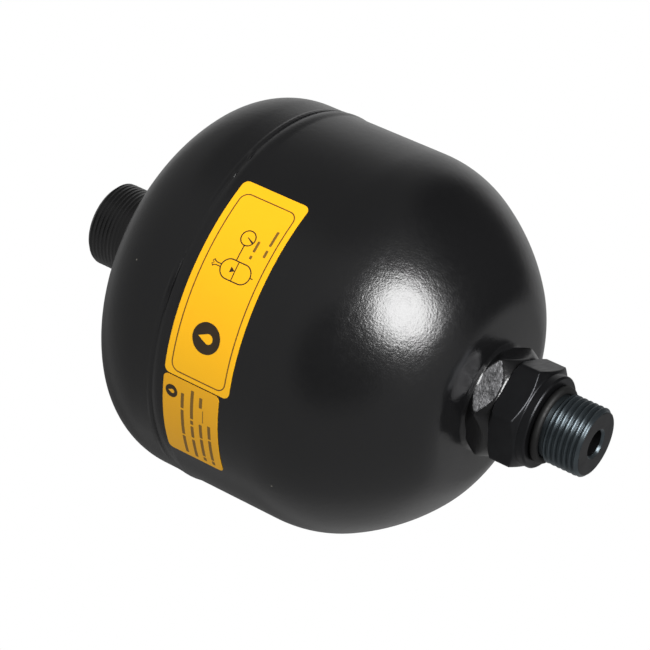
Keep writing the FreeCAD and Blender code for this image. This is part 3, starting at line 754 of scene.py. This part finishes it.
ink("signStub", mainPlace,
    strokeLoop([(signX, signFoot), (signX, signFoot - sign["stub"])], sign["thinLine"]))

# Oil sign: a dark disc with a drop left open in it, large on the main label and small on the other
oilSign = {"x": -16.78, "y": -0.28, "r": 4.93, "drop": 2.0, "dropSteps": 24}
smallDisc = {"x": 9.92, "y": 7.05, "r": 2.2, "drop": 0.9, "dropSteps": 14}

# Plain bars. One on the main label is its start, its end and its middle height, and a row on the small
# label is its middle height and the start and end of each bar.
bars = {
    "corner": 0.2, "cornerSteps": 3, "mainThickness": 0.84, "smallThickness": 1.1,
    "main": ((10.1, 11.2, -4.0), (12.4, 16.0, -4.0), (12.1, 14.5, -7.85), (15.9, 21.0, -7.85)),
    "small": ((2.9, ((-13.65, -5.8), (-5.1, 4.7), (5.4, 10.9))),
              (-0.66, ((-13.8, -5.8), (-4.8, -0.1), (0.65, 2.2), (2.9, 13.3))),
              (-3.9, ((-13.8, -12.2), (-11.5, -3.9), (-3.3, 2.2), (8.5, 12.2))),
              (-7.1, ((-13.8, -12.2), (-11.6, -2.8), (-2.1, 3.1)))),
    "rule": ((3.3, -4.95), (7.9, -4.95), (7.9, -4.7), (3.3, -4.7)),
}


def inkDisc(name, place, disc):
    x, y = disc["x"], disc["y"]
    ink(name, place, [circle(x, y, disc["r"]), dropShape(x, y, disc["drop"], disc["dropSteps"])])


def inkBar(name, place, left, right, y, thickness):
    low, high = y - thickness / 2, y + thickness / 2
    ink(name, place, [roundedBox(left, right, low, high, bars["corner"], bars["cornerSteps"])], barInk)


inkDisc("oilSign", mainPlace, oilSign)
for index, (left, right, y) in enumerate(bars["main"]):
    inkBar(f"mainBar{index}", mainPlace, left, right, y, bars["mainThickness"])
inkDisc("smallDisc", smallPlace, smallDisc)
for rowIndex, (y, row) in enumerate(bars["small"]):
    for wordIndex, (left, right) in enumerate(row):
        inkBar(f"smallBar{rowIndex}{wordIndex}", smallPlace, left, right, y, bars["smallThickness"])
ink("smallRule", smallPlace, [bars["rule"]], barInk)
print("labels made")

# Diaphragm: a moulded cup with a bead at its rim, built lying along the fluid half as it does at rest.
cup = {
    "gap": 0.5, "thick": 2.0, "bead": 3.5, "beadDrop": 2.5, "beadHeight": 6.0, "beadEdge": 1.0,
    "beadEase": 0.4, "neckDrop": 12.0, "neckEase": 2.0, "crownEnd": 22.0, "flat": 16.5, "waist": 11.5,
    "flange": 1.6, "segments": 160, "travel": 55.0,
}
nearWall, farWall = shell["wall"] + cup["gap"], shell["wall"] + cup["gap"] + cup["thick"]
beadTop, beadLow = seamZ - cup["beadDrop"], seamZ - cup["beadDrop"] - cup["beadHeight"]
cupNeck, cupFloor = seamZ - cup["neckDrop"], portTop + cup["flange"]
cupOutline = easeCorners([
    (inside, beadTop), (inside - cup["bead"], beadTop), (inside - cup["bead"], beadLow),
    (inside - cup["thick"], beadLow - cup["beadEdge"]), (inside - cup["thick"], cupNeck)], cup["beadEase"])
cupOutline += [(shell["radius"] - farWall, cupNeck - cup["neckEase"])]
cupOutline += shellEnd(shell["fluidArcs"], fluidTangentZ, -1, cup["crownEnd"], farWall)
cupOutline += [(cup["flat"], cupFloor + cup["thick"]), (cup["waist"], cupFloor + cup["thick"]),
               (cup["waist"], cupFloor), (cup["flat"], cupFloor)]
cupOutline += shellEnd(shell["fluidArcs"], fluidTangentZ, -1, cup["crownEnd"], nearWall)[::-1]
cupOutline += [(shell["radius"] - nearWall, cupNeck - cup["neckEase"]), (inside, cupNeck)]
diaphragmCup = makePiece("diaphragmCup", *turnOutline(cupOutline, cup["segments"]), diaphragmRubber,
                         "nitrile_rubber", "diaphragm", sharp=60)
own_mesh(diaphragmCup)

# Nodes that keep their own mesh
for node, material in (("charging_screw", zincSteel), ("charging_screw_seal", sealRubber),
                       ("clamp_ring", plainSteel), ("valve_button", plainSteel)):
    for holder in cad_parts[node].material_slots:
        holder.material = material
print("inner pieces dressed")

# Studio: white all round for the camera. Reflections see a grey room with paler backdrops behind
# the part, dark flags beside the softbox and the dark place of the camera. Each patch of the room is
# the direction of its middle, its soft edge (as cosines from there) and how much it adds or takes away.
studio = {
    "worldFill": 0.65, "room": 0.25,
    "backdrops": (((0.44, 0.742, 0.506), (0.84, 0.98), 0.2), ((-0.607, 0.785, 0.127), (0.8, 0.96), 0.08),
                  ((-0.355, 0.901, -0.25), (0.93, 0.995), 0.12),
                  ((0.183, 0.977, 0.1), (0.88, 0.99), 0.08)),
    "flags": (((0.729, 0.473, -0.495), (0.7, 0.88), 0.9), ((-0.226, -0.837, -0.498), (0.8, 0.95), 0.7),
              ((-0.4, 0.7, 0.59), (0.9, 0.99), 0.6), ((0.95, -0.26, 0.17), (0.72, 0.95), 0.45)),
    "floorZ": -1.2, "floorHalf": 6, "floorColour": "#f2f2f0",
}
world = bpy.data.worlds.new("paleStudio")
bpy.context.scene.world = world
world.use_nodes = True
roomTree = world.node_tree
roomTree.nodes.clear()
ray = addNode(roomTree, "ShaderNodeLightPath")
direction = addNode(roomTree, "ShaderNodeTexCoord")


def roomPatch(towards, edge, inner, outer):  # a round patch of the room, soft at its edge
    aligned = addNode(roomTree, "ShaderNodeVectorMath", {"operation": "DOT_PRODUCT", 1: towards},
                      {0: (direction, "Generated")})
    return addNode(roomTree, "ShaderNodeMapRange", {
        "interpolation_type": "SMOOTHSTEP", "From Min": edge[0], "From Max": edge[1],
        "To Min": outer, "To Max": inner}, {"Value": (aligned, "Value")})


backdrops = [roomPatch(towards, edge, gain, 0.0) for towards, edge, gain in studio["backdrops"]]
flags = [roomPatch(towards, edge, 1 - depth, 1.0) for towards, edge, depth in studio["flags"]]
reflected = addNode(roomTree, "ShaderNodeMath", {"operation": "ADD", 1: studio["room"]},
                    {0: (backdrops[0], 0)})
for operation, patches in (("ADD", backdrops[1:]), ("MULTIPLY", flags)):
    for patch in patches:
        reflected = addNode(roomTree, "ShaderNodeMath", {"operation": operation},
                            {0: (reflected, 0), 1: (patch, 0)})
fillOrMirror = addNode(roomTree, "ShaderNodeMix", {"data_type": "FLOAT", 2: studio["worldFill"]},
                       {0: (ray, "Is Glossy Ray"), 3: (reflected, 0)})
straight = addNode(roomTree, "ShaderNodeMath", {"operation": "MAXIMUM"},
                   {0: (ray, "Is Camera Ray"), 1: (ray, "Is Transmission Ray")})
strength = addNode(roomTree, "ShaderNodeMix", {"data_type": "FLOAT", 3: 1.0},
                   {0: (straight, 0), 2: (fillOrMirror, 0)})
background = addNode(roomTree, "ShaderNodeBackground", {"Color": (1, 1, 1, 1)}, {"Strength": (strength, 0)})
addNode(roomTree, "ShaderNodeOutputWorld", {}, {"Surface": (background, "Background")})

# Painted floor, far below the hanging part, and plain white to the camera
half, floorZ = studio["floorHalf"], studio["floorZ"]
floorMesh = bpy.data.meshes.new("studioFloor")
floorMesh.from_pydata([(-half, -half, floorZ), (half, -half, floorZ), (half, half, floorZ),
                       (-half, half, floorZ)], [], [(0, 1, 2, 3)])
floor = bpy.data.objects.new("studioFloor", floorMesh)
bpy.context.scene.collection.objects.link(floor)
floorPaint = bpy.data.materials.new("paleFloorPaint")
floorPaint.use_nodes = True
floorTree = floorPaint.node_tree
floorTree.nodes.clear()
matt = addNode(floorTree, "ShaderNodeBsdfPrincipled",
               {"Base Color": srgb(studio["floorColour"]), "Roughness": 0.8})
bright = addNode(floorTree, "ShaderNodeEmission", {"Strength": 1.0})
floorRay = addNode(floorTree, "ShaderNodeLightPath")
mixed = addNode(floorTree, "ShaderNodeMixShader", {},
                {0: (floorRay, "Is Camera Ray"), 1: (matt, "BSDF"), 2: (bright, "Emission")})
addNode(floorTree, "ShaderNodeOutputMaterial", {}, {"Surface": (mixed, "Shader")})
floorMesh.materials.append(floorPaint)
floor.visible_glossy = False  # reflections show the room instead

# Camera fitted to the outline of the shell, the seam and the port
camera = {
    "place": (44.54, -777.65, -308.75), "turn": (140.5094, 54.0665, 47.8872),
    "lens": 155.08, "sensor": 36.0, "nearest": 0.01, "farthest": 50,
}
cameraData = bpy.data.cameras.new("photoCamera")
cameraData.lens, cameraData.sensor_width = camera["lens"], camera["sensor"]
cameraData.clip_start, cameraData.clip_end = camera["nearest"], camera["farthest"]
cameraObject = bpy.data.objects.new("photoCamera", cameraData)
cameraObject.location = [v * mm for v in camera["place"]]
cameraObject.rotation_euler = Euler([math.radians(v) for v in camera["turn"]])
bpy.context.scene.collection.objects.link(cameraObject)
bpy.context.scene.camera = cameraObject

# Softbox that gives the round highlight on the fluid end, placed along the mirror direction there
softbox = {"highlightZ": 41.3, "highlightAngle": -72.9, "distance": 1.0, "size": 0.6, "power": 14.2}
nearest = min(range(1, len(fluidOuter) - 1), key=lambda i: abs(fluidOuter[i][1] - softbox["highlightZ"]))
(r0, z0), (r, z), (r1, z1) = fluidOuter[nearest - 1:nearest + 2]
angle = math.radians(softbox["highlightAngle"])
spot = Vector((r * math.cos(angle), r * math.sin(angle), z)) * mm
normal = Vector(((z0 - z1) * math.cos(angle), (z0 - z1) * math.sin(angle), r1 - r0)).normalized()
toCamera = (cameraObject.location - spot).normalized()
mirrored = 2 * normal.dot(toCamera) * normal - toCamera
lampData = bpy.data.lights.new("softbox", "AREA")
lampData.shape, lampData.size, lampData.energy = "DISK", softbox["size"], softbox["power"]
lamp = bpy.data.objects.new("softbox", lampData)
lamp.location = spot + mirrored * softbox["distance"]
lamp.rotation_mode = "QUATERNION"
lamp.rotation_quaternion = (-mirrored).to_track_quat("-Z", "Y")
lamp.visible_camera = False
bpy.context.scene.collection.objects.link(lamp)

bpy.context.scene.view_settings.view_transform = "Standard"
print("studio set")
